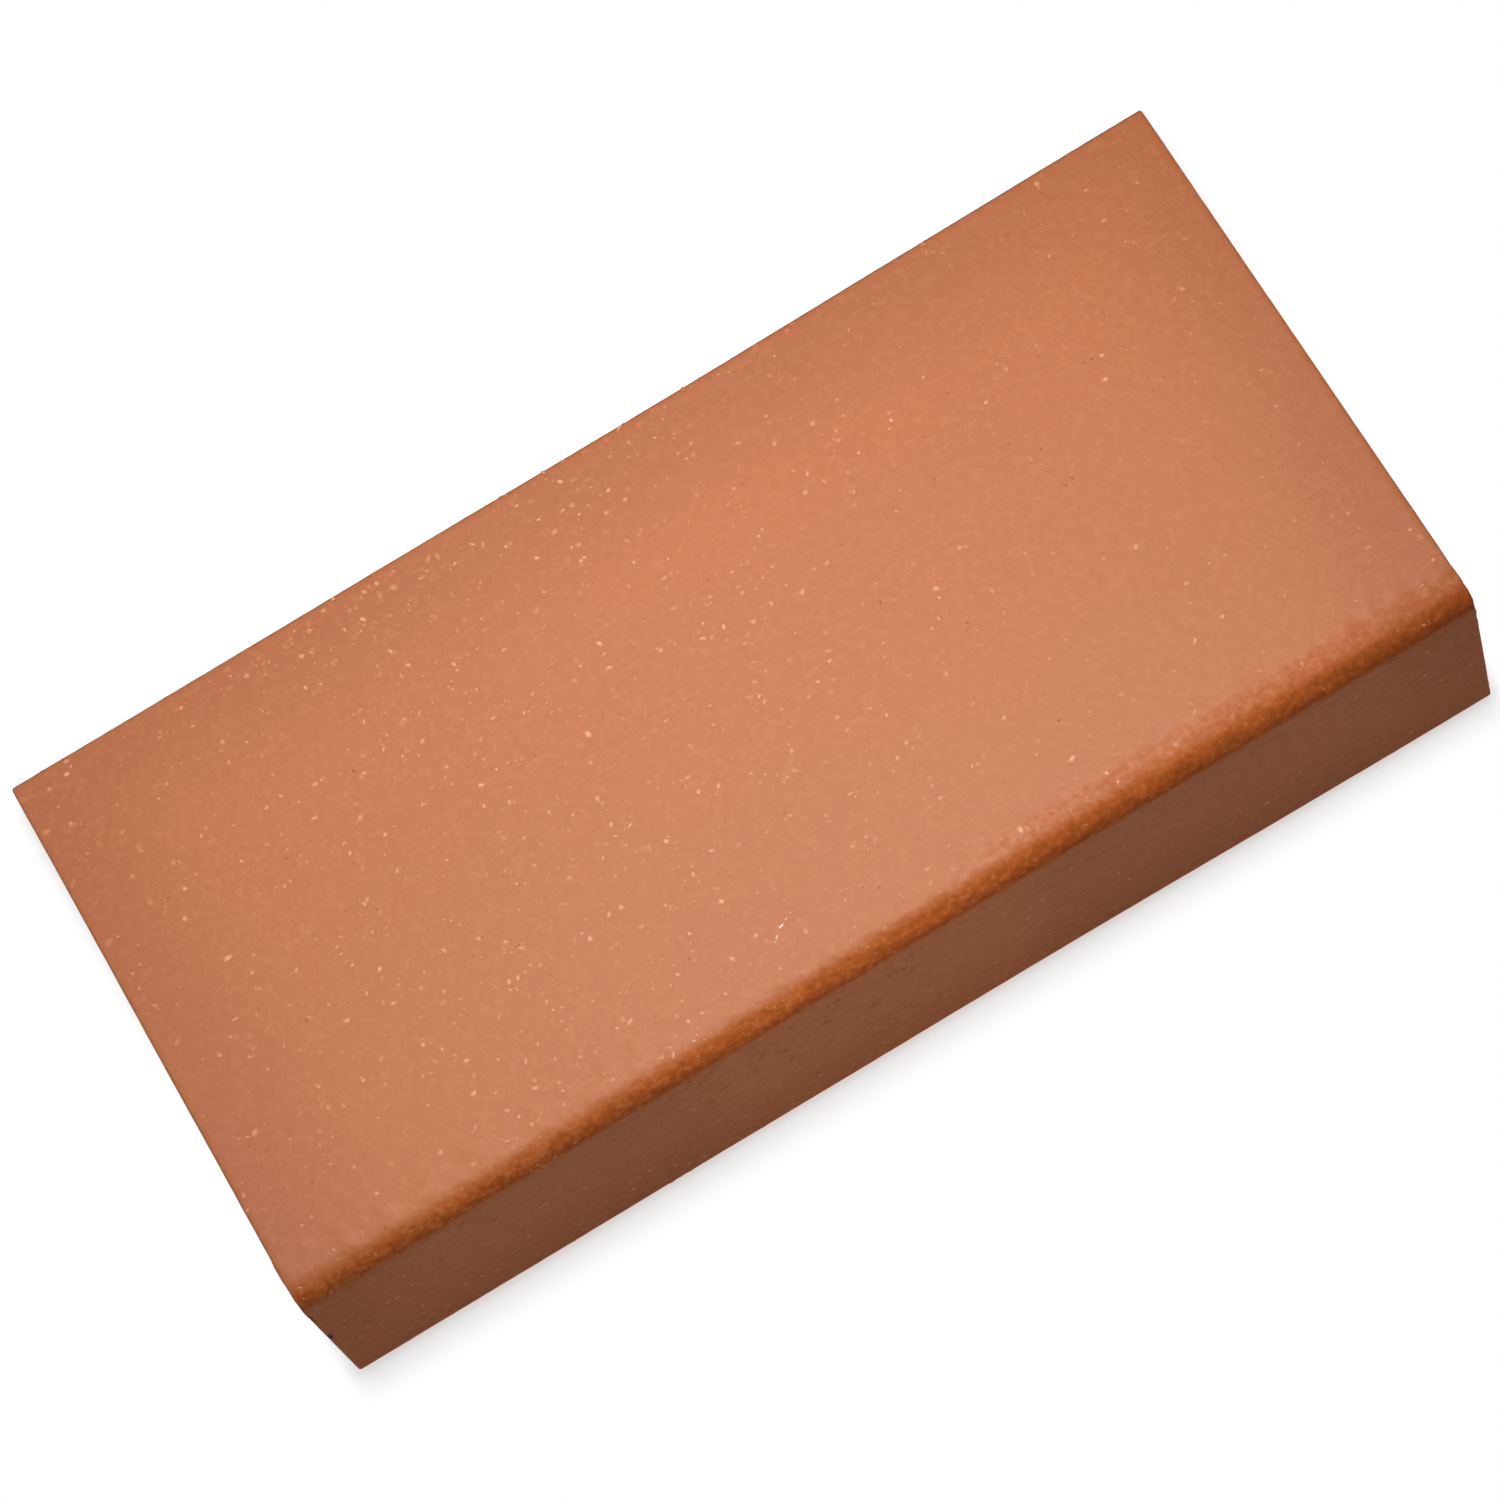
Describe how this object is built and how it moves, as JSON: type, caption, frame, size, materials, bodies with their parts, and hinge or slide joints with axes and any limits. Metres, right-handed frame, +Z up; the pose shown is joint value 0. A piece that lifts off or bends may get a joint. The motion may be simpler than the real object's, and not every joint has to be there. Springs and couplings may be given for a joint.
{
  "type": "stair tread tile",
  "caption": "Terracotta-coloured clinker stair tread tile: a flat tread with a rounded nosing and a short front lip, keyed for mortar on its hidden faces.",
  "frame": {"origin": "on the floor, under the middle of the tile's box", "axes": "+X along the nosing, +Y from the lip towards the back of the tread, +Z up from the floor on which the tile lies"},
  "size_m": [0.24, 0.1228, 0.0468],
  "materials": {
    "clinker": "satin"
  },
  "bodies": {
    "root": {"stair_tread_tile": "clinker"}
  },
  "joints": []
}
